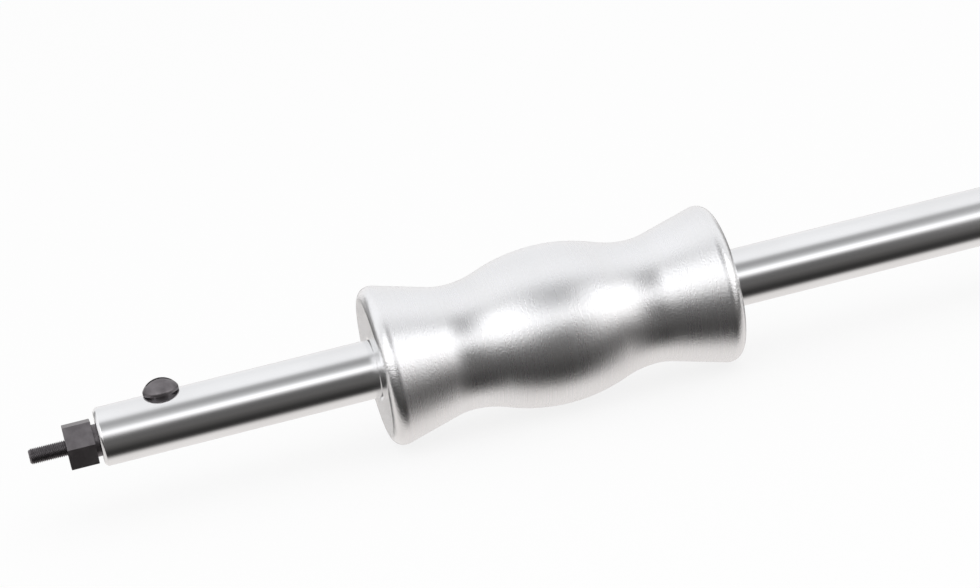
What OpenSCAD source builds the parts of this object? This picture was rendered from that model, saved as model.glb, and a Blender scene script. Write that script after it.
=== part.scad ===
// Slide-hammer seal puller: a threaded tip is screwed into the seal, and a weight that runs
// on a long rod is thrown back against a stop to draw the seal out.
// X runs along the rod, from the tip to the stop. The origin is the centre of the hexagon's
// front face, the shoulder that comes up against the seal. The rod's axis lies a little above it.

/* [Rod] */
// Diameter of the rod
rod_d = 16; // [14:0.5:20]
// Length of the rod
rod_len = 380; // [320:5:500]
// Chamfer at both ends of the rod
rod_chamfer = 0.8; // [0.5:0.1:1.5]

/* [Screw tip] */
// Outer diameter of the thread that goes into the seal
tip_thread_d = 4.4; // [3:0.1:6]
// Length of that thread ahead of the hexagon
tip_thread_len = 10.1; // [8:0.1:20]
// Chamfer on the point of the thread
tip_chamfer = 0.6; // [0.4:0.1:1]
// Hexagon, across flats
hex_af = 11.6; // [11:0.1:14]
// Length of the hexagon
hex_len = 7.6; // [5:0.1:14]
// Angle at which the hexagon came to a stop, from corner up
hex_turn = 22; // [0:1:59]
// Gap between the hexagon and the rod, where the neck shows
neck_gap = 1.3; // [0.5:0.1:3]
// Diameter of the neck in that gap
neck_d = 8.8; // [8:0.1:9.4]
// Diameter of the shank that goes into the rod
shank_d = 8; // [7:0.5:9]
// Length of the shank inside the rod
shank_len = 27; // [26:0.5:40]
// Depth of the flat that the lock screw bears on
shank_flat = 0.6; // [0.3:0.1:1]
// How far the lock screw presses the shank off the rod's axis, against the bottom of its hole
tip_drop = 0.6; // [0.1:0.1:1]

/* [Lock screw] */
// Distance of the lock screw from the front end of the rod
lock_from_end = 18.9; // [14:0.1:22]
// Diameter of the lock screw's thread
lock_d = 5; // [4:0.5:6]
// Diameter of its domed head
lock_head_d = 9.8; // [9:0.1:13]
// Height of its domed head
lock_head_h = 3.9; // [2.5:0.1:5]
// Height of the upright edge under the dome
lock_edge_h = 0.9; // [0.3:0.1:2]
// Gap between the head and the rod when the screw is tight
lock_stand = 0.1; // [0.1:0.1:2]
// Width of the slot across the head
lock_slot_w = 1.2; // [0.8:0.1:1.6]
// Depth of the slot
lock_slot_depth = 1.4; // [0.8:0.1:1.6]

/* [Sliding weight] */
// Length of the weight
weight_len = 99.6; // [90:0.2:120]
// Largest diameter, at the belly and at both rims
weight_d = 44.2; // [42:0.2:52]
// Diameter of the two waists
waist_d = 34.8; // [32:0.2:38]
// Distance of each waist from the middle
waist_from_middle = 26.1; // [24:0.1:30]
// Radius of the belly, seen from the side
belly_radius = 48; // [40:1:55]
// Radius between each waist and the flare outside it
flare_radius = 18; // [12:1:22]
// Radius on the edge of both rims
rim_round = 3.5; // [1:0.1:4]
// Chamfer at both ends of the bore
bore_chamfer = 0.8; // [0.3:0.1:1.5]
// Distance from the front end of the rod to the weight
weight_from_end = 76.3; // [40:0.1:150]

/* [Rear stop] */
// Diameter of the stop
stop_d = 32; // [28:0.5:40]
// Length of the stop
stop_len = 22; // [20:0.5:40]
// Radius on both edges of the stop
stop_round = 2; // [1:0.1:3]
// Depth of the stop's seat on the rod
stop_seat = 10; // [6:0.5:10]
// Diameter of the thread of the screw that holds the stop
stop_screw_d = 8; // [6:0.5:9]
// Length of that thread inside the rod
stop_screw_grip = 18; // [12:1:30]
// Diameter of its domed head
stop_head_d = 14; // [13:0.5:15]
// Height of its domed head
stop_head_h = 4.4; // [3.5:0.1:5]
// Height of the upright edge under the dome
stop_edge_h = 1.5; // [0.5:0.1:2]
// Socket in the head, across flats
stop_socket_af = 5; // [4:0.5:6]
// Depth of the socket in the head
stop_socket_depth = 2.6; // [1.5:0.1:3]
// Diameter of the washer under the head
washer_d = 15; // [15:0.5:18]
// Thickness of the washer
washer_t = 1.6; // [1:0.1:2]
// Depth of the head below the stop's rear face
head_recess = 0.4; // [0.1:0.1:1]

/* [Fits] */
// Gap all round between the weight's bore and the rod
slide_gap = 0.2; // [0.1:0.05:0.5]
// Gap all round a screw in its threaded hole
thread_gap = 0.05; // [0.02:0.01:0.1]
// Gap between the stop and the rod, around the washer, and between the neck and the rod
seat_gap = 0.05; // [0.02:0.01:0.15]
// Gap all round a screw in a clearance hole
clearance_gap = 0.25; // [0.15:0.05:0.5]

/* [Hidden] */

$fn = 96;
cut = 1;              // how far a cutter runs past the face that it opens
mouth = 0.6;          // countersink at the mouth of each threaded hole
run_out = 3;          // drilled depth past the end of a screw
drill_point = 59;     // half of the drill's point angle
round_steps = 6;      // straight steps along a rounded edge
curve_steps = 10;     // straight steps along each of the weight's long curves

rod_r = rod_d / 2;
rod_front = hex_len + neck_gap;
rod_back = rod_front + rod_len;
lock_x = rod_front + lock_from_end;
flat_z = shank_d / 2 - shank_flat;
flat_under_lock = flat_z - tip_drop;
lock_head_z = rod_r + lock_stand;
weight_x = rod_front + weight_from_end + weight_len / 2;
stop_front = rod_back - stop_seat;
stop_back = stop_front + stop_len;
head_top_x = stop_back - head_recess;
head_seat_x = head_top_x - stop_head_h;
washer_x = head_seat_x - washer_t;

black_oxide = [0.09, 0.085, 0.085];
chrome = [0.80, 0.81, 0.83];
satin = [0.74, 0.75, 0.77];
zinc = [0.70, 0.71, 0.72];

// Points of an arc about a centre, from one angle to another
function arc(centre, radius, from, to, steps) =
    [for (i = [0 : steps]) let (a = from + (to - from) * i / steps) centre + radius * [cos(a), sin(a)]];

// The same outline seen from the other end: X changes sign and the order is reversed
function mirrored(points) = [for (i = [len(points) - 1 : -1 : 0]) [-points[i][0], points[i][1]]];

// A solid of revolution about X, from points of [position along X, radius]
module turned(points) {
    rotate([0, 90, 0])
        rotate_extrude()
            polygon([for (p = points) [p[1], p[0]]]);
}

// Lifts a piece that is drawn about X onto the rod's axis
module on_rod() {
    translate([0, 0, tip_drop]) children();
}

// A cylinder about X
module on_axis(d, from, to) {
    translate([from, 0, 0]) rotate([0, 90, 0]) cylinder(d = d, h = to - from);
}

// Drilled hole about X, with a countersunk mouth and a drill point.
// It starts at the given face and runs forwards (direction 1) or back (direction -1).
module drilled(d, face, depth, direction) {
    r = d / 2;
    translate([face, 0, 0]) scale_x(direction)
        turned([[-cut, 0], [-cut, r + mouth + cut], [mouth, r], [depth, r], [depth + r / tan(drill_point), 0]]);
}

// Points the children along +X or, as a mirror image, along -X
module scale_x(direction) {
    if (direction > 0) children();
    else mirror([1, 0, 0]) children();
}

// Domed screw along +Z: the underside of its head is at the origin and the thread hangs below.
// The children are cut out of it.
module domed_screw(d, grip, head_d, head_h, edge_h) {
    crown = head_h - edge_h;
    dome_r = (pow(head_d / 2, 2) + pow(crown, 2)) / (2 * crown);
    point = d / 10;
    difference() {
        union() {
            intersection() {
                cylinder(d = head_d, h = head_h);
                translate([0, 0, head_h - dome_r]) sphere(r = dome_r);
            }
            rotate_extrude()
                polygon([[0, cut], [d / 2, cut], [d / 2, point - grip], [d / 2 - point, -grip], [0, -grip]]);
        }
        children();
    }
}

module guide_rod() {
    color(chrome) on_rod() difference() {
        turned([
            [rod_front, 0], [rod_front, rod_r - rod_chamfer], [rod_front + rod_chamfer, rod_r],
            [rod_back - rod_chamfer, rod_r], [rod_back, rod_r - rod_chamfer], [rod_back, 0]
        ]);
        drilled(shank_d + 2 * (tip_drop + thread_gap), rod_front, shank_len + run_out, 1);
        drilled(stop_screw_d + 2 * thread_gap, rod_back, stop_screw_grip + run_out, -1);
        translate([lock_x, 0, 0]) cylinder(d = lock_d + 2 * thread_gap, h = rod_r + cut);
    }
}

// Thread, hexagon, neck and shank are cut from one bar
module screw_tip() {
    thread_r = tip_thread_d / 2;
    neck_r = neck_d / 2;
    shank_r = shank_d / 2;
    neck_end = rod_front - seat_gap;
    shank_end = rod_front + shank_len;
    color(black_oxide) difference() {
        union() {
            turned([
                [-tip_thread_len, 0], [-tip_thread_len, thread_r - tip_chamfer],
                [tip_chamfer - tip_thread_len, thread_r], [cut, thread_r], [cut, neck_r],
                [neck_end, neck_r], [neck_end, shank_r],
                [shank_end - tip_chamfer, shank_r], [shank_end, shank_r - tip_chamfer], [shank_end, 0]
            ]);
            rotate([hex_turn, 0, 0])
                rotate([0, 90, 0]) cylinder(d = hex_af / cos(30), h = hex_len, $fn = 6);
        }
        translate([lock_x - lock_d, -shank_r, flat_z])
            cube([shank_end + cut - (lock_x - lock_d), shank_d, shank_r]);
    }
}

module lock_screw() {
    color(black_oxide) on_rod() translate([lock_x, 0, lock_head_z])
        domed_screw(lock_d, lock_head_z - flat_under_lock, lock_head_d, lock_head_h, lock_edge_h)
            translate([-lock_head_d / 2 - cut, -lock_slot_w / 2, lock_head_h - lock_slot_depth])
                cube([lock_head_d + 2 * cut, lock_slot_w, lock_slot_depth + cut]);
}

// Weight turned from one bar: a belly between two waists, then a straight flare to each rim
module sliding_weight() {
    half = weight_len / 2;
    top_r = weight_d / 2;
    waist_r = waist_d / 2;
    drop = top_r - waist_r;
    bore_r = rod_r + slide_gap;

    // The belly's arc and the waist's arc touch, so their radii add up to the distance of their centres
    waist_radius = (pow(waist_from_middle, 2) + pow(drop, 2)) / (2 * drop) - belly_radius;
    belly_angle = asin(waist_from_middle / (belly_radius + waist_radius));

    // The flare is the line that touches the waist's outer arc from below and the rim's arc from above
    rim_centre = [half - rim_round, top_r - rim_round];
    flare_centre = [waist_from_middle, waist_r + flare_radius];
    span = rim_centre[0] - flare_centre[0];
    rise = flare_centre[1] - rim_centre[1];
    flare_angle = asin((flare_radius + rim_round) / norm([span, rise])) - atan2(rise, span);

    back_half = concat(
        arc([0, top_r - belly_radius], belly_radius, 90, 90 - belly_angle, curve_steps),
        arc([waist_from_middle, waist_r + waist_radius], waist_radius, -90 - belly_angle, -90, curve_steps),
        arc(flare_centre, flare_radius, -90, -90 + flare_angle, curve_steps),
        arc(rim_centre, rim_round, 90 + flare_angle, 0, round_steps),
        [[half, bore_r + bore_chamfer], [half - bore_chamfer, bore_r]]
    );
    color(satin) on_rod() translate([weight_x, 0, 0])
        turned(concat(mirrored(back_half), back_half));
}

module rear_stop() {
    r = stop_d / 2;
    color(satin) on_rod() difference() {
        turned(concat(
            [[stop_front, 0]],
            arc([stop_front + stop_round, r - stop_round], stop_round, 180, 90, round_steps),
            arc([stop_back - stop_round, r - stop_round], stop_round, 90, 0, round_steps),
            [[stop_back, 0]]
        ));
        on_axis(rod_d + 2 * seat_gap, stop_front - cut, rod_back);
        on_axis(stop_screw_d + 2 * clearance_gap, stop_front, stop_back);
        on_axis(washer_d + 2 * seat_gap, washer_x, stop_back + cut);
    }
}

module stop_washer() {
    color(zinc) on_rod() difference() {
        on_axis(washer_d, washer_x, head_seat_x);
        on_axis(stop_screw_d + 2 * clearance_gap, washer_x - cut, head_seat_x + cut);
    }
}

module stop_screw() {
    grip = head_seat_x - (rod_back - stop_screw_grip);
    color(black_oxide) on_rod() translate([head_seat_x, 0, 0]) rotate([0, 90, 0])
        domed_screw(stop_screw_d, grip, stop_head_d, stop_head_h, stop_edge_h)
            translate([0, 0, stop_head_h - stop_socket_depth])
                cylinder(d = stop_socket_af / cos(30), h = stop_socket_depth + cut, $fn = 6);
}

guide_rod();
screw_tip();
lock_screw();
sliding_weight();
rear_stop();
stop_washer();
stop_screw();
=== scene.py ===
"""Looks of a slide-hammer seal puller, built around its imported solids.

Lengths are in metres. X runs along the rod from the threaded tip to the rear stop, Z towards the head of
the lock screw, and the origin is the centre of the hexagon's front face.
"""

from __future__ import annotations

import logging
import math
from collections.abc import Mapping, Sequence
from dataclasses import dataclass
from enum import Enum

import bmesh
import bpy
from mathutils import Matrix, Vector

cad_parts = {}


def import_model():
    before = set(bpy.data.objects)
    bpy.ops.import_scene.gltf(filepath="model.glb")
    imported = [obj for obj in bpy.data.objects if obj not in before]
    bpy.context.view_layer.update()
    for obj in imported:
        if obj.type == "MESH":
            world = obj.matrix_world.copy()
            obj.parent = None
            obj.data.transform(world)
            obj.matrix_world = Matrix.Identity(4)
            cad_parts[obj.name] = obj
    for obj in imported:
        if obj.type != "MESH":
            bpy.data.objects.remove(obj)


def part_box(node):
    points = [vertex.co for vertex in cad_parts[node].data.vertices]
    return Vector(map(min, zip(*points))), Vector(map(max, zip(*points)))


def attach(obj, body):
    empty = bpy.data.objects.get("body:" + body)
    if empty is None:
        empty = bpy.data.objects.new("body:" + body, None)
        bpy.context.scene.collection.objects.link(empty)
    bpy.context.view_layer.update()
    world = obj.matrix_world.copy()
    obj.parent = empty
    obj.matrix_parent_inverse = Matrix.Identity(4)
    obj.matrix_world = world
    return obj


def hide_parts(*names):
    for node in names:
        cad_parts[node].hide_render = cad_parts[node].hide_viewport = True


LOG = logging.getLogger("seal_puller")
MM = 0.001
FULL_TURN = 2 * math.pi
WELD = 1e-7
AXIS_X = Vector((1, 0, 0))
AXIS_Y = Vector((0, 1, 0))
AXIS_Z = Vector((0, 0, 1))

Point = tuple[float, float]
Colour = tuple[float, float, float]
Ring = tuple[list[bmesh.types.BMVert], list[bmesh.types.BMEdge]]


class Body(Enum):
    """The bodies that the pieces ride on."""

    ROD = "rod"
    WEIGHT = "weight"


class Slot(Enum):
    """The names of the material slots."""

    CHROME = "chromed_rod"
    SATIN = "satin_steel"
    BLACK = "black_oxide"
    ZINC = "zinc_plate"


class Drive(Enum):
    """The shapes that are cut into a screw's head to turn it."""

    SOCKET = "hexagon socket"
    SLOT = "straight slot"


class Signal:
    """A shader value, so that shader maths can be written as plain arithmetic."""

    def __init__(self, graph: Graph, socket: bpy.types.NodeSocket) -> None:
        """Keeps the graph that the value belongs to and the socket that gives it."""
        self.graph = graph
        self.socket = socket

    def _math(self, operation: str, first: Value, second: Value) -> Signal:
        """Adds one Math node for two values."""
        return self.graph.node("ShaderNodeMath", {"operation": operation}, {0: first, 1: second})

    def __add__(self, other: Value) -> Signal:
        """Sum."""
        return self._math("ADD", self, other)

    def __radd__(self, other: Value) -> Signal:
        """Sum, with the number first."""
        return self._math("ADD", other, self)

    def __sub__(self, other: Value) -> Signal:
        """Difference."""
        return self._math("SUBTRACT", self, other)

    def __rsub__(self, other: Value) -> Signal:
        """Difference, with the number first."""
        return self._math("SUBTRACT", other, self)

    def __mul__(self, other: Value) -> Signal:
        """Product."""
        return self._math("MULTIPLY", self, other)

    def __rmul__(self, other: Value) -> Signal:
        """Product, with the number first."""
        return self._math("MULTIPLY", other, self)

    def __truediv__(self, other: Value) -> Signal:
        """Quotient."""
        return self._math("DIVIDE", self, other)

    def __rtruediv__(self, other: Value) -> Signal:
        """Quotient, with the number first."""
        return self._math("DIVIDE", other, self)

    def at_most(self, other: Value) -> Signal:
        """The smaller of two values."""
        return self._math("MINIMUM", self, other)


Value = Signal | float


class Graph:
    """A node tree that is written from Python."""

    def __init__(self, tree: bpy.types.NodeTree) -> None:
        """Starts from an emptied tree."""
        tree.nodes.clear()
        self.tree = tree

    def node(
        self,
        kind: str,
        settings: Mapping[str, object] | None = None,
        inputs: Mapping[int | str, object] | None = None,
        output: int | str = 0,
    ) -> Signal:
        """Adds a node.

        Args:
            kind: The node's type.
            settings: Attributes of the node, set before its sockets. "stops" is a ramp's list of stops.
            inputs: Values or signals for its input sockets, by number or name.
            output: The output socket that is wanted.

        Returns:
            The signal of that output.
        """
        made = self.tree.nodes.new(kind)
        for key, value in (settings or {}).items():
            if key == "stops":
                self._set_stops(made.color_ramp, value)
            else:
                setattr(made, key, value)
        for key, value in (inputs or {}).items():
            if isinstance(value, Signal):
                self.tree.links.new(value.socket, made.inputs[key])
            else:
                made.inputs[key].default_value = value
        return Signal(self, made.outputs[output]) if len(made.outputs) else Signal(self, made.inputs[0])

    @staticmethod
    def _set_stops(ramp: bpy.types.ColorRamp, stops: Sequence[Point]) -> None:
        """Sets a ramp's grey stops, each a position and a level."""
        while len(ramp.elements) < len(stops):
            ramp.elements.new(1.0)
        for element, (position, level) in zip(ramp.elements, stops):
            element.position = position
            element.color = (level, level, level, 1.0)

    def position(self) -> Signal:
        """The point on the surface, in the tool's own frame."""
        return self.node("ShaderNodeTexCoord", output="Object")

    def noise(self, grain: Sequence[float], detail: float, offset: float = 0.0) -> Signal:
        """Noise whose grain has its own size along each axis.

        Args:
            grain: The size of the grain along X, Y and Z.
            detail: The number of finer layers.
            offset: A shift that makes one noise unlike another.

        Returns:
            A value about 0.5.
        """
        scaled = self.node(
            "ShaderNodeMapping",
            {"vector_type": "POINT"},
            {"Vector": self.position(), "Location": (offset,) * 3, "Scale": tuple(1 / g for g in grain)},
        )
        inputs = {"Vector": scaled, "Scale": 1.0, "Detail": detail}
        return self.node("ShaderNodeTexNoise", {}, inputs, "Fac")

    def steps(self, value: Signal, stops: Sequence[Point]) -> Signal:
        """Maps a value through grey stops."""
        return self.node("ShaderNodeValToRGB", {"stops": stops}, {"Fac": value})

    def blend(self, share: Value, first: Colour | Signal, second: Colour | Signal) -> Signal:
        """Mixes two colours by a value from 0 to 1."""
        pair = [c if isinstance(c, Signal) else (*c, 1.0) for c in (first, second)]
        inputs = {"Factor": share, 6: pair[0], 7: pair[1]}
        return self.node("ShaderNodeMix", {"data_type": "RGBA"}, inputs, 2)

    def rise(self, value: Signal, span: Point) -> Signal:
        """A smooth rise from 0 to 1 while a value crosses a span."""
        inputs = {"Value": value, "From Min": span[0], "From Max": span[1]}
        return self.node("ShaderNodeMapRange", {"interpolation_type": "SMOOTHSTEP"}, inputs)

    def relief(self, height: Signal, depth: float) -> Signal:
        """A normal that follows a height from 0 to 1, which stands for the given depth."""
        return self.node("ShaderNodeBump", {}, {"Strength": 1.0, "Distance": depth, "Height": height})

    def finish(self, shader: Signal) -> None:
        """Links a shader to the material's output."""
        self.node("ShaderNodeOutputMaterial", {}, {"Surface": shader})


@dataclass(frozen=True)
class Finish:
    """A surface finish. Each kind of finish draws its own nodes."""

    name: str

    def material(self) -> bpy.types.Material:
        """Makes the material of this finish."""
        made = bpy.data.materials.new(self.name)
        made.use_nodes = True
        graph = Graph(made.node_tree)
        graph.finish(self.shader(graph))
        return made

    def shader(self, graph: Graph) -> Signal:
        """Draws the nodes of this finish."""
        raise NotImplementedError


@dataclass(frozen=True)
class ChromePlate(Finish):
    """Hard chrome over a ground bar: bright, with faint grinding rings and a few hazy patches."""

    name: str = "chrome_plate"
    bright: Colour = (0.875, 0.878, 0.885)
    hazy: Colour = (0.83, 0.83, 0.835)
    roughness: float = 0.15
    roughness_swing: float = 0.05
    ring: float = 0.9 * MM
    ring_length: float = 30 * MM
    ring_depth: float = 0.0012 * MM
    patch: float = 14 * MM
    patch_offset: float = 7.0
    haze_stops: tuple[Point, ...] = ((0.38, 0.0), (0.68, 1.0))

    def shader(self, graph: Graph) -> Signal:
        """Draws rings across the rod and slow patches of haze."""
        rings = graph.noise((self.ring, self.ring_length, self.ring_length), 4.0)
        haze = graph.noise((2 * self.patch, self.patch, self.patch), 3.0, self.patch_offset)
        mottle = graph.steps(haze, self.haze_stops)
        return graph.node(
            "ShaderNodeBsdfPrincipled",
            {},
            {
                "Base Color": graph.blend(mottle, self.bright, self.hazy),
                "Metallic": 1.0,
                "Roughness": self.roughness + (mottle - 0.5) * self.roughness_swing,
                "Normal": graph.relief(rings, self.ring_depth),
            },
        )


@dataclass(frozen=True)
class SatinSteel(Finish):
    """Turned steel with a satin plating: small specks and faint rings under a soft sheen."""

    name: str = "satin_steel"
    pale: Colour = (0.89, 0.893, 0.905)
    dull: Colour = (0.835, 0.833, 0.835)
    roughness: float = 0.28
    roughness_swing: float = 0.07
    ring: float = 0.45 * MM
    ring_length: float = 40 * MM
    ring_share: float = 0.2
    speck: float = 0.5 * MM
    speck_offset: float = 3.0
    speck_share: float = 1.2
    relief_depth: float = 0.06 * MM
    patch: float = 18 * MM
    patch_offset: float = 11.0
    tone_stops: tuple[Point, ...] = ((0.36, 0.0), (0.66, 1.0))
    ends: Point | None = None
    rim: float = 4 * MM
    rim_roughness: float = 0.2

    def shader(self, graph: Graph) -> Signal:
        """Draws turning rings, small specks and slow patches, and polishes the rims."""
        rings = graph.noise((self.ring, self.ring_length, self.ring_length), 5.0)
        specks = graph.noise((self.speck,) * 3, 4.0, self.speck_offset)
        patches = graph.noise((self.patch,) * 3, 2.0, self.patch_offset)
        tone = graph.steps(patches * 0.5 + specks * 0.5, self.tone_stops)
        height = rings * self.ring_share + specks * self.speck_share
        return graph.node(
            "ShaderNodeBsdfPrincipled",
            {},
            {
                "Base Color": graph.blend(tone, self.pale, self.dull),
                "Metallic": 1.0,
                "Roughness": self._sheen(graph) + (rings - 0.5) * self.roughness_swing,
                "Normal": graph.relief(height, self.relief_depth),
            },
        )

    def _sheen(self, graph: Graph) -> Value:
        """The roughness, which falls towards both ends where the finish has them."""
        if self.ends is None:
            return self.roughness
        low, high = self.ends
        along = graph.node("ShaderNodeSeparateXYZ", {}, {0: graph.position()}, "X")
        away = graph.node("ShaderNodeMath", {"operation": "ABSOLUTE"}, {0: along - (low + high) / 2})
        inner = (high - low) / 2 - self.rim
        polish = graph.rise(away, (inner, inner + self.rim / 2))
        return self.roughness + polish * (self.rim_roughness - self.roughness)


@dataclass(frozen=True)
class BlackOxide(Finish):
    """Blackened steel: a dull dark coat with a fine tooth, rubbed thin in patches."""

    name: str = "black_oxide"
    coat: Colour = (0.158, 0.146, 0.153)
    worn: Colour = (0.26, 0.245, 0.254)
    roughness: float = 0.42
    roughness_swing: float = 0.12
    tooth: float = 0.5 * MM
    tooth_depth: float = 0.012 * MM
    tooth_share: float = 0.3
    patch: float = 3.5 * MM
    patch_offset: float = 5.0
    patch_share: float = 0.6
    patch_stops: tuple[Point, ...] = ((0.42, 0.0), (0.72, 1.0))

    def shader(self, graph: Graph) -> Signal:
        """Draws the tooth of the coat and rubbed patches."""
        tooth = graph.noise((self.tooth,) * 3, 4.0)
        patches = graph.noise((self.patch,) * 3, 3.0, self.patch_offset)
        rubbed = graph.steps(patches, self.patch_stops) * self.patch_share + tooth * self.tooth_share
        return graph.node(
            "ShaderNodeBsdfPrincipled",
            {},
            {
                "Base Color": graph.blend(rubbed, self.coat, self.worn),
                "Metallic": 1.0,
                "Roughness": self.roughness + (tooth - 0.5) * self.roughness_swing,
                "Normal": graph.relief(tooth, self.tooth_depth),
            },
        )


@dataclass(frozen=True)
class ZincPlate(Finish):
    """Bright zinc on a stamped washer, with a faint tumbled grain."""

    name: str = "zinc_plate"
    pale: Colour = (0.72, 0.73, 0.74)
    dull: Colour = (0.60, 0.61, 0.62)
    roughness: float = 0.34
    roughness_swing: float = 0.1
    grain: float = 0.8 * MM
    grain_depth: float = 0.006 * MM

    def shader(self, graph: Graph) -> Signal:
        """Draws the tumbled grain."""
        grain = graph.noise((self.grain,) * 3, 4.0)
        return graph.node(
            "ShaderNodeBsdfPrincipled",
            {},
            {
                "Base Color": graph.blend(grain, self.pale, self.dull),
                "Metallic": 1.0,
                "Roughness": self.roughness + (grain - 0.5) * self.roughness_swing,
                "Normal": graph.relief(grain, self.grain_depth),
            },
        )


@dataclass(frozen=True)
class FloorPaper(Finish):
    """White studio paper that still takes a soft shadow."""

    name: str = "floor_paper"
    colour: Colour = (0.9, 0.9, 0.9)
    glow_share: float = 0.82

    def shader(self, graph: Graph) -> Signal:
        """Mixes lit paper with plain white for the rays that look at it."""
        path = graph.node("ShaderNodeLightPath").socket.node.outputs
        names = ("Is Camera Ray", "Is Glossy Ray", "Is Transmission Ray")
        seen, mirrored, through = (Signal(graph, path[name]) for name in names)
        share = (seen + mirrored + through).at_most(1.0) * self.glow_share
        lit = graph.node("ShaderNodeBsdfDiffuse", {}, {"Color": (*self.colour, 1.0)})
        glow = graph.node("ShaderNodeEmission", {}, {"Color": (1.0, 1.0, 1.0, 1.0), "Strength": 1.0})
        paper = graph.node("ShaderNodeMixShader", {}, {0: share, 1: lit, 2: glow})
        under = graph.node("ShaderNodeNewGeometry", output="Backfacing")
        clear = graph.node("ShaderNodeBsdfTransparent")
        return graph.node("ShaderNodeMixShader", {}, {0: under, 1: paper, 2: clear})


class Outline:
    """A chain of edges in the plane of X and the radius, drawn from one vertex and then turned about X."""

    def __init__(self, x: float, radius: float) -> None:
        """Starts the chain at one point."""
        self.bm = bmesh.new()
        self.tip = self.bm.verts.new((x, 0.0, radius))

    def line_to(self, x: float, radius: float) -> Outline:
        """Draws a straight edge to a point."""
        grown = bmesh.ops.extrude_vert_indiv(self.bm, verts=[self.tip])
        self.tip = grown["verts"][0]
        self.tip.co = (x, 0.0, radius)
        return self

    def arc(self, centre: Point, sweep: float, steps: int) -> Outline:
        """Draws an arc from where the chain ends.

        Args:
            centre: The arc's centre, as X and radius.
            sweep: The angle, positive from X towards the radius.
            steps: The number of edges.

        Returns:
            The outline itself.
        """
        grown = bmesh.ops.spin(
            self.bm,
            geom=[self.tip],
            cent=(centre[0], 0.0, centre[1]),
            axis=-AXIS_Y,
            angle=sweep,
            steps=steps,
        )
        self.tip = next(e for e in grown["geom_last"] if isinstance(e, bmesh.types.BMVert))
        return self

    def close(self) -> Outline:
        """Joins the end of the chain to its start."""
        self.bm.verts.ensure_lookup_table()
        self.bm.edges.new((self.tip, self.bm.verts[0]))
        return self

    def turned(self, segments: int) -> bmesh.types.BMesh:
        """Turns the chain about X into a closed skin."""
        bmesh.ops.spin(
            self.bm,
            geom=self.bm.verts[:] + self.bm.edges[:],
            cent=(0.0, 0.0, 0.0),
            axis=AXIS_X,
            angle=FULL_TURN,
            steps=segments,
            use_merge=True,
        )
        bmesh.ops.remove_doubles(self.bm, verts=self.bm.verts, dist=WELD)
        bmesh.ops.recalc_face_normals(self.bm, faces=self.bm.faces)
        return self.bm

    def screwed(self, pitch: float, turns: int, segments: int) -> bmesh.types.BMesh:
        """Winds the chain, which is one pitch long, along X as a right-hand thread."""
        bmesh.ops.spin(
            self.bm,
            geom=self.bm.verts[:] + self.bm.edges[:],
            cent=(0.0, 0.0, 0.0),
            dvec=AXIS_X * (pitch / segments),
            axis=AXIS_X,
            angle=FULL_TURN * turns,
            steps=segments * turns,
        )
        bmesh.ops.remove_doubles(self.bm, verts=self.bm.verts, dist=10 * WELD)
        return self.bm


def break_rings(bm: bmesh.types.BMesh, rings: Sequence[Point], width: float, segments: int = 3) -> None:
    """Rounds the sharp rings of a turned skin.

    Args:
        bm: The skin.
        rings: Each ring as X and radius.
        width: How far the rounding reaches on each side.
        segments: The number of facets across it.
    """

    def on_a_ring(edge: bmesh.types.BMEdge) -> bool:
        """Tells whether both ends of an edge lie on one of the rings."""
        return any(
            all(
                abs(v.co.x - x) < 10 * WELD and abs(math.hypot(v.co.y, v.co.z) - radius) < 10 * WELD
                for v in edge.verts
            )
            for x, radius in rings
        )

    bmesh.ops.bevel(
        bm,
        geom=[e for e in bm.edges if on_a_ring(e)],
        offset=width,
        offset_type="OFFSET",
        affect="EDGES",
        segments=segments,
        profile=0.5,
        material=-1,
        clamp_overlap=True,
    )


def cut_at(bm: bmesh.types.BMesh, x: float, keep_behind: bool) -> None:
    """Cuts a skin across the axis and leaves the cut open.

    Args:
        bm: The skin.
        x: Where the cut is.
        keep_behind: Keeps the side of larger X if true, else the side of smaller X.
    """
    bmesh.ops.bisect_plane(
        bm,
        geom=bm.verts[:] + bm.edges[:] + bm.faces[:],
        dist=WELD,
        plane_co=(x, 0.0, 0.0),
        plane_no=-AXIS_X if keep_behind else AXIS_X,
        clear_outer=True,
    )


def open_rim(bm: bmesh.types.BMesh, x: float) -> list[bmesh.types.BMEdge]:
    """Finds the open edges of a skin that lie in one plane across the axis."""
    return [e for e in bm.edges if e.is_boundary and all(abs(v.co.x - x) < 10 * WELD for v in e.verts)]


def grow(bm: bmesh.types.BMesh, rim: Sequence[bmesh.types.BMEdge], step: float) -> Ring:
    """Grows a wall from an open rim along X.

    Args:
        bm: The skin.
        rim: The edges that the wall starts from.
        step: How far it goes.

    Returns:
        The vertices and the edges of the wall's new rim.
    """
    made = bmesh.ops.extrude_edge_only(bm, edges=list(rim))["geom"]
    verts = [v for v in made if isinstance(v, bmesh.types.BMVert)]
    edges = [e for e in made if isinstance(e, bmesh.types.BMEdge) and all(v in verts for v in e.verts)]
    bmesh.ops.translate(bm, vec=AXIS_X * step, verts=verts)
    return verts, edges


def merged(parts: Sequence[bmesh.types.BMesh]) -> bmesh.types.BMesh:
    """Puts several skins into one and frees the others."""
    whole = bmesh.new()
    for part in parts:
        scratch = bpy.data.meshes.new("scratch")
        part.to_mesh(scratch)
        whole.from_mesh(scratch)
        bpy.data.meshes.remove(scratch)
        part.free()
    return whole


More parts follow.
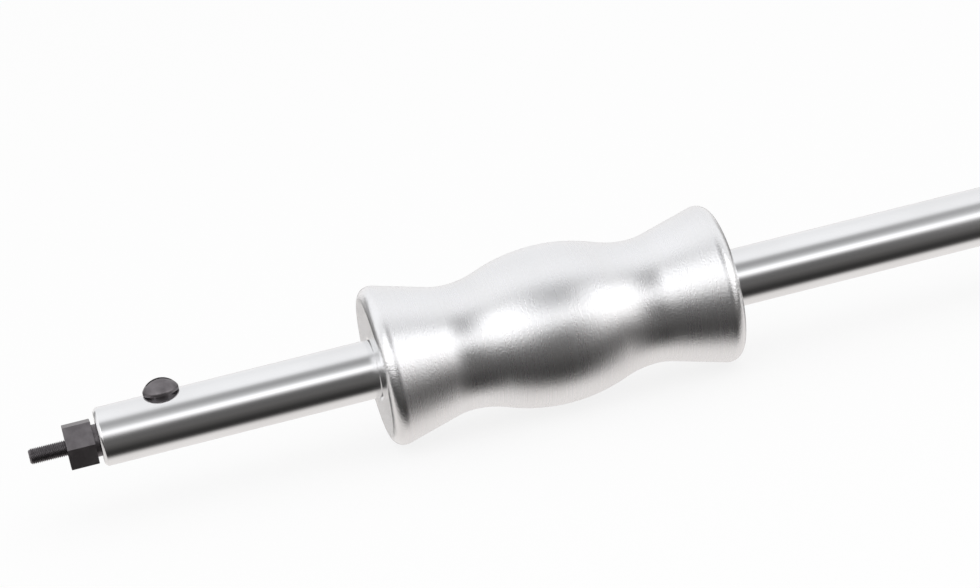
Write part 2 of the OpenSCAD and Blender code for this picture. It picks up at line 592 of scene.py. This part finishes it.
def carve(piece: bpy.types.Object, cutter: bmesh.types.BMesh, sharp_angle: float) -> None:
    """Cuts a closed skin out of a piece and removes the cutter.

    Args:
        piece: The piece, which keeps its name and place.
        cutter: The closed skin, which is freed.
        sharp_angle: The angle from which an edge of the cut is sharp.
    """
    mesh = bpy.data.meshes.new("cutter")
    cutter.to_mesh(mesh)
    cutter.free()
    helper = bpy.data.objects.new("cutter", mesh)
    bpy.context.scene.collection.objects.link(helper)
    cut = piece.modifiers.new("cut", "BOOLEAN")
    cut.operation = "DIFFERENCE"
    cut.solver = "EXACT"
    cut.object = helper
    piece.modifiers.move(len(piece.modifiers) - 1, 0)
    bpy.context.view_layer.update()
    whole = piece.evaluated_get(bpy.context.evaluated_depsgraph_get())
    carved = bpy.data.meshes.new_from_object(whole)
    piece.modifiers.remove(cut)
    carved.set_sharp_from_angle(angle=sharp_angle)
    piece.data = carved
    bpy.data.objects.remove(helper)


@dataclass(frozen=True)
class Dressing:
    """How a finished skin becomes a piece of the tool."""

    finish: Finish
    slot: Slot
    body: Body
    sharp_angle: float = math.radians(35)

    def make(self, name: str, bm: bmesh.types.BMesh, node: str) -> bpy.types.Object:
        """Makes the piece that stands for a node of the solids.

        Args:
            name: The piece's name.
            bm: Its skin, which is freed.
            node: The node that it replaces.

        Returns:
            The new object.
        """
        bmesh.ops.recalc_face_normals(bm, faces=bm.faces)
        mesh = bpy.data.meshes.new(name)
        bm.to_mesh(mesh)
        bm.free()
        mesh.shade_smooth()
        mesh.set_sharp_from_angle(angle=self.sharp_angle)
        mesh.materials.append(self.finish.material())
        piece = bpy.data.objects.new(name, mesh)
        bpy.context.scene.collection.objects.link(piece)
        even = piece.modifiers.new("even_normals", "WEIGHTED_NORMAL")
        even.keep_sharp = True
        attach(piece, self.body.value)
        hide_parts(node)
        LOG.info("%s: %d faces, on %s", name, len(mesh.polygons), self.body.value)
        return piece


@dataclass(frozen=True)
class Thread:
    """A metric thread with flat crests and roots."""

    radius: float
    pitch: float
    segments: int = 64
    depth_share: float = 0.6134
    crest_share: float = 0.125
    root_share: float = 0.25

    @property
    def root(self) -> float:
        """Radius at the bottom of the groove."""
        return self.radius - self.depth_share * self.pitch

    def skin(self, start: float, end: float) -> bmesh.types.BMesh:
        """Winds the thread from one X to another, open at both ends.

        Args:
            start: Where it begins.
            end: Where it stops.

        Returns:
            The skin, cut square at both ends.
        """
        flank = (1 - self.crest_share - self.root_share) / 2 * self.pitch
        x = start - 2 * self.pitch
        turns = math.ceil((end - start) / self.pitch) + 4
        groove = Outline(x, self.root)
        groove.line_to(x + self.root_share * self.pitch, self.root)
        groove.line_to(x + self.root_share * self.pitch + flank, self.radius)
        groove.line_to(x + (self.root_share + self.crest_share) * self.pitch + flank, self.radius)
        groove.line_to(x + self.pitch, self.root)
        bm = groove.screwed(self.pitch, turns, self.segments)
        cut_at(bm, start, keep_behind=True)
        cut_at(bm, end, keep_behind=False)
        return bm


@dataclass
class GuideRod:
    """The chromed bar, tapped at both ends and drilled across for the lock screw."""

    front: float
    back: float
    radius: float
    axis_z: float
    lock_x: float
    chamfer: float = 0.8 * MM
    front_bore: float = 4.65 * MM
    front_depth: float = 30 * MM
    rear_bore: float = 4.05 * MM
    rear_depth: float = 21 * MM
    lock_bore: float = 2.55 * MM
    lock_margin: float = 1.6
    lock_segments: int = 48
    mouth: float = 0.6 * MM
    drill_half_angle: float = math.radians(59)
    edge_break: float = 0.15 * MM
    segments: int = 160

    def build(self) -> bpy.types.Object:
        """Turns the bar with its two bores and drills the cross hole."""
        point = self.front_bore / math.tan(self.drill_half_angle)
        beside = self.lock_margin * self.lock_bore
        bar = Outline(self.front + self.front_depth + point, 0.0)
        bar.line_to(self.front + self.front_depth, self.front_bore)
        bar.line_to(self.front + self.mouth, self.front_bore)
        bar.line_to(self.front, self.front_bore + self.mouth)
        bar.line_to(self.front, self.radius - self.chamfer)
        bar.line_to(self.front + self.chamfer, self.radius)
        bar.line_to(self.lock_x - beside, self.radius)
        bar.line_to(self.lock_x + beside, self.radius)
        bar.line_to(self.back - self.chamfer, self.radius)
        bar.line_to(self.back, self.radius - self.chamfer)
        bar.line_to(self.back, self.rear_bore + self.mouth)
        bar.line_to(self.back - self.mouth, self.rear_bore)
        bar.line_to(self.back - self.rear_depth, self.rear_bore)
        bar.line_to(self.back - self.rear_depth - point, 0.0)
        bm = bar.turned(self.segments)
        rims = [(self.front, self.radius - self.chamfer), (self.front + self.chamfer, self.radius)]
        rims += [(self.back, self.radius - self.chamfer), (self.back - self.chamfer, self.radius)]
        break_rings(bm, rims, self.edge_break)
        bmesh.ops.translate(bm, vec=AXIS_Z * self.axis_z, verts=bm.verts)
        dressing = Dressing(ChromePlate(), Slot.CHROME, Body.ROD)
        piece = dressing.make("rod_bar", bm, "guide_rod")
        carve(piece, self._cross_hole(), dressing.sharp_angle)
        return piece

    def _cross_hole(self) -> bmesh.types.BMesh:
        """Makes the lock screw's hole, from the outside into the front bore."""
        bm = bmesh.new()
        centre = self.axis_z + self.radius + self.front_bore / 4
        bmesh.ops.create_cone(
            bm,
            cap_ends=True,
            segments=self.lock_segments,
            radius1=self.lock_bore,
            radius2=self.lock_bore,
            depth=2 * self.radius,
            matrix=Matrix.Translation((self.lock_x, 0.0, centre)),
        )
        return bm


@dataclass
class ScrewTip:
    """The black tip: a thin stud for the seal, a hexagon for a spanner and a shank for the rod."""

    point_x: float
    end_x: float
    rod_front: float
    lock_x: float
    stud: Thread = Thread(2.2 * MM, 0.5 * MM)
    shank: Thread = Thread(4.0 * MM, 1.25 * MM)
    chamfer: float = 0.6 * MM
    hex_across: float = 11.6 * MM
    hex_length: float = 7.6 * MM
    hex_turn: float = math.radians(22)
    hex_break: float = 0.14 * MM
    neck_radius: float = 4.4 * MM
    neck_gap: float = 0.05 * MM
    flat_z: float = 3.4 * MM
    flat_ahead: float = 5 * MM
    segments: int = 96

    def build(self) -> bpy.types.Object:
        """Winds both threads, cuts the hexagon, turns the neck and closes the shoulders between them."""
        neck_end = self.rod_front - self.neck_gap
        neck = Outline(self.hex_length, self.neck_radius)
        neck.line_to(neck_end, self.neck_radius)
        stud = self.stud.skin(self.point_x, 0.0)
        self._taper(stud, self.point_x, self.stud.radius - self.chamfer)
        shank = self.shank.skin(neck_end, self.end_x)
        self._taper(shank, self.end_x, self.shank.radius - self.chamfer)
        for v in shank.verts:
            if v.co.x > self.lock_x - self.flat_ahead:
                v.co.z = min(v.co.z, self.flat_z)
        bm = merged([stud, self._hexagon(), neck.turned(self.segments), shank])
        for x in (self.point_x, 0.0, self.hex_length, neck_end, self.end_x):
            bmesh.ops.triangle_fill(bm, use_beauty=True, use_dissolve=False, edges=open_rim(bm, x))
        bmesh.ops.remove_doubles(bm, verts=bm.verts, dist=WELD)
        return Dressing(BlackOxide(), Slot.BLACK, Body.ROD).make("tip_screw", bm, "screw_tip")

    @staticmethod
    def _taper(bm: bmesh.types.BMesh, end: float, end_radius: float) -> None:
        """Turns a chamfer of 45 degrees on a thread's end."""
        for v in bm.verts:
            across = math.hypot(v.co.y, v.co.z)
            limit = end_radius + abs(v.co.x - end)
            if across > limit:
                v.co.y *= limit / across
                v.co.z *= limit / across

    def _hexagon(self) -> bmesh.types.BMesh:
        """Makes the hexagon with softened edges and open ends."""
        bm = bmesh.new()
        bmesh.ops.create_cone(
            bm,
            cap_ends=True,
            segments=6,
            radius1=self.hex_across / math.sqrt(3),
            radius2=self.hex_across / math.sqrt(3),
            depth=self.hex_length,
        )
        stand = Matrix.Translation((self.hex_length / 2, 0.0, 0.0)) @ Matrix.Rotation(self.hex_turn, 4, "X")
        bmesh.ops.transform(bm, matrix=stand @ Matrix.Rotation(math.pi / 2, 4, "Y"), verts=bm.verts)
        highest = max(bm.verts, key=lambda v: v.co.z)
        lean = math.atan2(-highest.co.y, highest.co.z)
        settle = Matrix.Rotation(self.hex_turn - lean, 3, "X")
        bmesh.ops.rotate(bm, verts=bm.verts, cent=(0, 0, 0), matrix=settle)
        bmesh.ops.bevel(
            bm,
            geom=bm.edges[:],
            offset=self.hex_break,
            offset_type="OFFSET",
            affect="EDGES",
            segments=2,
            profile=0.5,
            material=-1,
        )
        ends = [f for f in bm.faces if abs(f.normal.x) > 0.99]
        bmesh.ops.delete(bm, geom=ends, context="FACES_ONLY")
        return bm


@dataclass
class DomedScrew:
    """A screw with a domed head, made along X with its head towards +X."""

    name: str
    node: str
    thread: Thread
    grip: float
    head_radius: float
    head_height: float
    edge_height: float
    drive: Drive
    drive_width: float
    drive_depth: float
    place: Matrix
    land: float = 0.25 * MM
    edge_break: float = 0.2 * MM
    dome_steps: int = 18
    segments: int = 96

    def build(self) -> bpy.types.Object:
        """Turns the head, grows the shank, sets the screw in its place and cuts what turns it."""
        crown = self.head_height - self.edge_height
        dome = (self.head_radius**2 + crown**2) / (2 * crown)
        rim = self.drive_width / math.sqrt(3) + self.land if self.drive is Drive.SOCKET else 0.0
        start = math.asin(self.head_radius / dome)
        stop = math.asin(rim / dome)
        head = Outline(0.0, self.thread.radius)
        head.line_to(0.0, self.head_radius)
        head.line_to(self.edge_height, self.head_radius)
        head.arc((self.head_height - dome, 0.0), stop - start, self.dome_steps)
        bm = head.turned(self.segments)
        break_rings(bm, [(0.0, self.head_radius), (self.edge_height, self.head_radius)], self.edge_break)
        if self.drive is Drive.SOCKET:
            self._sink_socket(bm, max(v.co.x for v in bm.verts))
        self._shank(bm)
        bmesh.ops.transform(bm, matrix=self.place, verts=bm.verts)
        dressing = Dressing(BlackOxide(), Slot.BLACK, Body.ROD)
        piece = dressing.make(self.name, bm, self.node)
        if self.drive is Drive.SLOT:
            carve(piece, self._slot(), dressing.sharp_angle)
        return piece

    def _slot(self) -> bmesh.types.BMesh:
        """Makes the straight slot, which runs across the whole head."""
        bm = bmesh.new()
        bmesh.ops.create_cube(bm, size=1.0)
        reach = (2 * self.drive_depth, self.drive_width, 3 * self.head_radius)
        bmesh.ops.scale(bm, vec=reach, verts=bm.verts)
        bmesh.ops.translate(bm, vec=AXIS_X * self.head_height, verts=bm.verts)
        bmesh.ops.transform(bm, matrix=self.place, verts=bm.verts)
        return bm

    def _sink_socket(self, bm: bmesh.types.BMesh, top: float) -> None:
        """Closes the top of the head with a flat land and sinks a hexagon into it."""
        rim = open_rim(bm, top)
        upright = Matrix.Translation((top, 0.0, 0.0)) @ Matrix.Rotation(math.pi / 2, 4, "Y")
        corner = self.drive_width / math.sqrt(3)
        ring = bmesh.ops.create_circle(bm, cap_ends=False, segments=6, radius=corner, matrix=upright)
        sides = list({e for v in ring["verts"] for e in v.link_edges})
        bmesh.ops.triangle_fill(bm, use_beauty=True, use_dissolve=False, edges=rim + sides)
        _, base = grow(bm, sides, -self.drive_depth)
        drill = bmesh.ops.contextual_create(bm, geom=base)["faces"]
        tip = bmesh.ops.poke(bm, faces=drill)["verts"]
        bmesh.ops.translate(bm, vec=-AXIS_X * (self.drive_width / 6), verts=tip)

    def _shank(self, bm: bmesh.types.BMesh) -> None:
        """Grows the shank from the neck under the head, tapered at its end."""
        point = self.thread.radius / 5
        _, rim = grow(bm, open_rim(bm, 0.0), point - self.grip)
        verts, rim = grow(bm, rim, -point)
        share = 1 - point / self.thread.radius
        bmesh.ops.scale(bm, vec=(1.0, share, share), verts=verts)
        bmesh.ops.contextual_create(bm, geom=rim)


@dataclass
class SlidingWeight:
    """The turned weight: a belly between two waists, a flare to each rim and a bore for the rod."""

    front: float
    back: float
    top_radius: float
    rod_radius: float
    axis_z: float
    waist_radius: float = 17.4 * MM
    waist_offset: float = 26.1 * MM
    belly_curve: float = 48 * MM
    flare_curve: float = 18 * MM
    rim_curve: float = 3.5 * MM
    slide_gap: float = 0.2 * MM
    bore_chamfer: float = 0.8 * MM
    edge_break: float = 0.12 * MM
    rim_steps: int = 14
    flare_steps: int = 10
    waist_steps: int = 14
    belly_steps: int = 40
    segments: int = 192

    def build(self) -> bpy.types.Object:
        """Draws one half of the outline backwards, the other forwards, and turns it."""
        half = (self.back - self.front) / 2
        middle = (self.back + self.front) / 2
        bore = self.rod_radius + self.slide_gap
        drop = self.top_radius - self.waist_radius
        waist_curve = (self.waist_offset**2 + drop**2) / (2 * drop) - self.belly_curve
        belly = math.asin(self.waist_offset / (self.belly_curve + waist_curve))
        reach = half - self.rim_curve - self.waist_offset
        rise = self.waist_radius + self.flare_curve - (self.top_radius - self.rim_curve)
        flare = math.asin((self.flare_curve + self.rim_curve) / math.hypot(reach, rise))
        flare -= math.atan2(rise, reach)
        quarter = math.pi / 2
        rim_centre = half - self.rim_curve
        rim_height = self.top_radius - self.rim_curve
        waist_height = self.waist_radius + waist_curve
        flare_height = self.waist_radius + self.flare_curve

        line = Outline(middle - half + self.bore_chamfer, bore)
        line.line_to(middle - half, bore + self.bore_chamfer)
        line.line_to(middle - half, rim_height)
        line.arc((middle - rim_centre, rim_height), -(quarter + flare), self.rim_steps)
        foot = self.waist_offset + self.flare_curve * math.sin(flare)
        line.line_to(middle - foot, flare_height - self.flare_curve * math.cos(flare))
        line.arc((middle - self.waist_offset, flare_height), flare, self.flare_steps)
        line.arc((middle - self.waist_offset, waist_height), belly, self.waist_steps)
        line.arc((middle, self.top_radius - self.belly_curve), -2 * belly, self.belly_steps)
        line.arc((middle + self.waist_offset, waist_height), belly, self.waist_steps)
        line.arc((middle + self.waist_offset, flare_height), flare, self.flare_steps)
        crest = rim_centre - self.rim_curve * math.sin(flare)
        line.line_to(middle + crest, rim_height + self.rim_curve * math.cos(flare))
        line.arc((middle + rim_centre, rim_height), -(quarter + flare), self.rim_steps)
        line.line_to(middle + half, bore + self.bore_chamfer)
        line.line_to(middle + half - self.bore_chamfer, bore)
        line.close()
        bm = line.turned(self.segments)
        mouths = [(middle + side * half, bore + self.bore_chamfer) for side in (-1, 1)]
        break_rings(bm, mouths, self.edge_break)
        bmesh.ops.translate(bm, vec=AXIS_Z * self.axis_z, verts=bm.verts)
        finish = SatinSteel(ends=(self.front, self.back))
        return Dressing(finish, Slot.SATIN, Body.WEIGHT).make("weight_body", bm, "sliding_weight")


@dataclass
class RearStop:
    """The plain stop at the rod's end, with the washer and the screw that hold it."""

    front: float
    back: float
    radius: float
    rod_radius: float
    axis_z: float
    rod_back: float
    washer_front: float
    washer_back: float
    washer_radius: float
    screw_bore: float = 4.25 * MM
    seat_gap: float = 0.05 * MM
    rounding: float = 2 * MM
    rounding_steps: int = 12
    edge_break: float = 0.15 * MM
    segments: int = 144

    def build(self) -> list[bpy.types.Object]:
        """Turns the stop and its washer."""
        seat = self.rod_radius + self.seat_gap
        recess = self.washer_radius + self.seat_gap
        quarter = math.pi / 2
        line = Outline(self.front, seat)
        line.line_to(self.front, self.radius - self.rounding)
        line.arc((self.front + self.rounding, self.radius - self.rounding), -quarter, self.rounding_steps)
        line.line_to(self.back - self.rounding, self.radius)
        line.arc((self.back - self.rounding, self.radius - self.rounding), -quarter, self.rounding_steps)
        line.line_to(self.back, recess)
        line.line_to(self.washer_front, recess)
        line.line_to(self.washer_front, self.screw_bore)
        line.line_to(self.rod_back, self.screw_bore)
        line.line_to(self.rod_back, seat)
        line.close()
        bm = line.turned(self.segments)
        break_rings(bm, [(self.front, seat), (self.back, recess)], self.edge_break)
        bmesh.ops.translate(bm, vec=AXIS_Z * self.axis_z, verts=bm.verts)
        stop = Dressing(SatinSteel(), Slot.SATIN, Body.ROD).make("stop_body", bm, "rear_stop")

        ring = Outline(self.washer_front, self.screw_bore)
        ring.line_to(self.washer_front, self.washer_radius)
        ring.line_to(self.washer_back, self.washer_radius)
        ring.line_to(self.washer_back, self.screw_bore)
        ring.close()
        bm = ring.turned(self.segments)
        edges = [(self.washer_back, self.washer_radius), (self.washer_front, self.washer_radius)]
        break_rings(bm, edges, self.edge_break)
        bmesh.ops.translate(bm, vec=AXIS_Z * self.axis_z, verts=bm.verts)
        washer = Dressing(ZincPlate(), Slot.ZINC, Body.ROD).make("stop_ring", bm, "stop_washer")
        return [stop, washer]


@dataclass(frozen=True)
class PhotoView:
    """Where the camera stands, worked out from the tool's outline in the picture."""

    width_px: int = 980
    height_px: int = 588
    focal_px: float = 3077.0
    sensor_mm: float = 36.0
    weight_px: Point = (550.3, 324.35)
    distance: float = 0.8405
    rise: float = math.radians(13.95)
    recede: float = math.radians(8.79)
    lean: float = math.radians(15.0)
    far: float = 50.0

    def build(self, weight_centre: Vector) -> bpy.types.Object:
        """Makes the camera.

        Args:
            weight_centre: The weight's centre, which the picture shows at weight_px.

        Returns:
            The camera, which is also the scene's camera.
        """
        along = Vector(
            (
                math.cos(self.recede) * math.cos(self.rise),
                math.cos(self.recede) * math.sin(self.rise),
                -math.sin(self.recede),
            )
        )
        across = Vector((-math.sin(self.rise), math.cos(self.rise), 0.0))
        outward = along.cross(across)
        up = math.cos(self.lean) * across + math.sin(self.lean) * outward
        turn = Matrix((along, up.cross(along), up))
        offset_x = (self.weight_px[0] - self.width_px / 2) / self.focal_px
        offset_y = (self.height_px / 2 - self.weight_px[1]) / self.focal_px
        seen = Vector((offset_x, offset_y, -1.0)) * self.distance
        data = bpy.data.cameras.new("photo_camera")
        data.sensor_width = self.sensor_mm
        data.lens = self.sensor_mm * self.focal_px / self.width_px
        data.clip_end = self.far
        camera = bpy.data.objects.new("photo_camera", data)
        camera.matrix_world = Matrix.Translation(weight_centre - turn @ seen) @ turn.to_4x4()
        bpy.context.scene.collection.objects.link(camera)
        bpy.context.scene.camera = camera
        return camera


@dataclass
class Studio:
    """Plain white surroundings: a paper floor, a soft lamp, and a white room that bright metal mirrors.

    The room's tone runs in bands round the rod. An angle of 0 is level and in front, 90 is straight up and
    -90 straight down. The opening that the picture was taken through is dark, with a grey strip above it.
    Behind, a narrow dark gap runs along the rod, with a wide dark door at each end of it.
    """

    centre: Vector
    floor_z: float
    floor_size: float = 12.0
    room_level: float = 0.95
    mirror_peak: float = 2.2
    bands: tuple[Point, ...] = (
        (-180, 0.95), (-135, 0.86), (-100, 0.86), (-88, 0.71), (-78, 0.28), (-70, 0.06), (-60, 0.03),
        (-50, 0.04), (-38, 0.075), (-22, 0.12), (-8, 0.12), (2, 0.15), (8, 0.36), (14, 0.76), (18, 1.15),
        (22, 1.3), (27, 1.3), (31, 1.05), (38, 0.63), (46, 0.43), (56, 0.34), (66, 0.47), (74, 0.82),
        (84, 1.0), (100, 1.0), (140, 0.93), (180, 0.95),
    )
    left_bands: tuple[Point, ...] = (
        (-180, 0.95), (-112, 0.8), (-88, 0.68), (-78, 0.44), (-70, 0.08), (-50, 0.05), (-22, 0.1),
        (-8, 0.18), (2, 0.55), (8, 1.05), (14, 1.25), (25, 1.4), (31, 1.55), (54, 1.55), (66, 0.75),
        (74, 0.85), (84, 1.0), (100, 1.05), (180, 0.95),
    )
    left_span: Point = (0.08, -0.42)
    right_bands: tuple[Point, ...] = (
        (-180, 0.95), (-112, 0.76), (-88, 0.66), (-76, 0.46), (-65, 0.26), (-55, 0.14), (-45, 0.11),
        (-35, 0.15), (-25, 0.26), (-15, 0.48), (-6, 0.9), (4, 1.3), (14, 1.4), (31, 1.6), (54, 1.6),
        (66, 0.74), (74, 0.76), (84, 0.88), (100, 1.0), (180, 0.95),
    )
    right_span: Point = (0.25, 0.67)
    back_shade: float = 0.88
    gap_bands: tuple[Point, ...] = ((-180, 0), (-177, 0), (-172, 1), (-158, 1), (-153, 0), (180, 0))
    shut_from: Point = (-0.26, -0.2)
    shut_to: Point = (-0.04, 0.02)
    door_bands: tuple[Point, ...] = ((-180, 1), (-150, 1), (-135, 0), (140, 0), (160, 1), (180, 1))
    left_door: float = 0.75
    left_door_span: Point = (-0.34, -0.5)
    right_door: float = 0.65
    right_door_span: Point = (0.54, 0.72)
    tint_reach: float = 0.5
    warm: Colour = (1.0, 0.965, 0.945)
    cool: Colour = (0.985, 0.988, 1.0)
    lamp_level: float = 0.5
    lamp_angle: float = math.radians(60)
    lamp_distance: float = 1.2
    lamp_size: float = 1.1

    def build(self) -> None:
        """Sets the floor, the room and the lamp."""
        self._floor()
        self._room()
        self._lamp()

    def _floor(self) -> None:
        """Lays the paper under the weight."""
        bm = bmesh.new()
        level = Matrix.Translation((self.centre.x, self.centre.y, self.floor_z))
        bmesh.ops.create_grid(bm, x_segments=1, y_segments=1, size=self.floor_size / 2, matrix=level)
        mesh = bpy.data.meshes.new("floor")
        bm.to_mesh(mesh)
        bm.free()
        mesh.materials.append(FloorPaper().material())
        floor = bpy.data.objects.new("floor", mesh)
        floor.visible_glossy = False
        bpy.context.scene.collection.objects.link(floor)

    def _room(self) -> None:
        """Makes the room white to look at, even as a light, and banded in a mirror."""
        world = bpy.data.worlds.new("white_room")
        world.use_nodes = True
        graph = Graph(world.node_tree)
        path = graph.node("ShaderNodeLightPath").socket.node.outputs
        seen = Signal(graph, path["Is Camera Ray"]) + Signal(graph, path["Is Transmission Ray"])
        mirrored = Signal(graph, path["Is Glossy Ray"])
        way = graph.node("ShaderNodeTexCoord", output="Generated")
        parts = graph.node("ShaderNodeSeparateXYZ", {}, {0: way}).socket.node.outputs
        x, y, z = (Signal(graph, parts[name]) for name in "XYZ")
        turn = graph.node("ShaderNodeMath", {"operation": "ARCTAN2"}, {0: z, 1: 0.0 - y})
        left = graph.rise(x, self.left_span)
        right = graph.rise(x, self.right_span)
        place = turn / FULL_TURN + 0.5
        ahead = self._banded(graph, place, self.bands)
        tone = ahead + (self._banded(graph, place, self.left_bands) - ahead) * left
        tone = tone + (self._banded(graph, place, self.right_bands) - ahead) * right
        tone = tone * (1.0 - self._behind(graph, x, place) * self.back_shade)
        level = self.room_level + seen * (1.0 - self.room_level) + mirrored * (tone - self.room_level)
        limits = {"Value": z, "From Min": -self.tint_reach, "From Max": self.tint_reach}
        height = graph.node("ShaderNodeMapRange", {}, limits)
        colour = graph.blend(mirrored, (1.0, 1.0, 1.0), graph.blend(height, self.warm, self.cool))
        room = graph.node("ShaderNodeBackground", {}, {"Color": colour, "Strength": level})
        graph.node("ShaderNodeOutputWorld", {}, {"Surface": room})
        bpy.context.scene.world = world

    def _behind(self, graph: Graph, x: Signal, place: Signal) -> Signal:
        """The dark gap and doors behind the tool. The gap is shut where the weight's front face looks."""
        shut = graph.rise(x, self.shut_from) - graph.rise(x, self.shut_to)
        beside = graph.rise(x, self.left_door_span) * self.left_door
        beside = beside + graph.rise(x, self.right_door_span) * self.right_door
        gap = self._banded(graph, place, self.gap_bands) * (1.0 - shut)
        return gap + (self._banded(graph, place, self.door_bands) - gap) * beside

    def _banded(self, graph: Graph, place: Signal, bands: Sequence[Point]) -> Signal:
        """The room's tone at a place round the rod, from 0 to 1 for the whole turn."""
        stops = [(angle / 360 + 0.5, level / self.mirror_peak) for angle, level in bands]
        return graph.steps(place, stops) * self.mirror_peak

    def _lamp(self) -> None:
        """Hangs a soft lamp above and in front of the tool, for the shadow on the paper."""
        data = bpy.data.lights.new("soft_lamp", "AREA")
        data.shape = "SQUARE"
        data.size = self.lamp_size
        data.energy = self.lamp_level * math.pi * self.lamp_size**2
        lamp = bpy.data.objects.new("soft_lamp", data)
        back = Vector((0.0, -math.cos(self.lamp_angle), math.sin(self.lamp_angle)))
        lamp.matrix_world = (
            Matrix.Translation(self.centre + back * self.lamp_distance)
            @ (-back).to_track_quat("-Z", "Y").to_matrix().to_4x4()
        )
        lamp.visible_glossy = False
        bpy.context.scene.collection.objects.link(lamp)


def main() -> None:
    """Builds the tool from the boxes of the solids, its surroundings and the camera."""
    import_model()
    logging.basicConfig(level=logging.INFO, format="%(name)s %(message)s")
    bpy.context.scene.view_settings.view_transform = "Standard"
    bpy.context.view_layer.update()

    rod_low, rod_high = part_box("guide_rod")
    tip_low, tip_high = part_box("screw_tip")
    lock_low, lock_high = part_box("lock_screw")
    weight_low, weight_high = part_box("sliding_weight")
    stop_low, stop_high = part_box("rear_stop")
    washer_low, washer_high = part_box("stop_washer")
    screw_low, screw_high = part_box("stop_screw")
    lock_x = (lock_low.x + lock_high.x) / 2
    rod_radius = (rod_high.z - rod_low.z) / 2
    axis_z = (rod_high.z + rod_low.z) / 2

    GuideRod(rod_low.x, rod_high.x, rod_radius, axis_z, lock_x).build()
    ScrewTip(tip_low.x, tip_high.x, rod_low.x, lock_x).build()
    SlidingWeight(weight_low.x, weight_high.x, weight_high.y, rod_radius, axis_z).build()
    RearStop(
        front=stop_low.x,
        back=stop_high.x,
        radius=stop_high.y,
        rod_radius=rod_radius,
        axis_z=axis_z,
        rod_back=rod_high.x,
        washer_front=washer_low.x,
        washer_back=washer_high.x,
        washer_radius=washer_high.y,
    ).build()
    lock_stand = 0.1 * MM
    lock_seat = rod_high.z + lock_stand
    DomedScrew(
        name="lock_bolt",
        node="lock_screw",
        thread=Thread(2.5 * MM, 0.8 * MM),
        grip=lock_seat - lock_low.z,
        head_radius=(lock_high.x - lock_low.x) / 2,
        head_height=lock_high.z - lock_seat,
        edge_height=0.9 * MM,
        drive=Drive.SLOT,
        drive_width=1.2 * MM,
        drive_depth=1.4 * MM,
        place=Matrix.Translation((lock_x, 0.0, lock_seat)) @ Matrix.Rotation(-math.pi / 2, 4, "Y"),
    ).build()
    DomedScrew(
        name="stop_bolt",
        node="stop_screw",
        thread=Thread(4.0 * MM, 1.25 * MM),
        grip=washer_high.x - screw_low.x,
        head_radius=screw_high.y,
        head_height=4.4 * MM,
        edge_height=1.5 * MM,
        drive=Drive.SOCKET,
        drive_width=5 * MM,
        drive_depth=2.4 * MM,
        place=Matrix.Translation((washer_high.x, 0.0, axis_z)),
    ).build()

    weight_centre = (weight_low + weight_high) / 2
    Studio(weight_centre, weight_low.z).build()
    PhotoView().build(weight_centre)


if __name__ == "__main__":
    main()
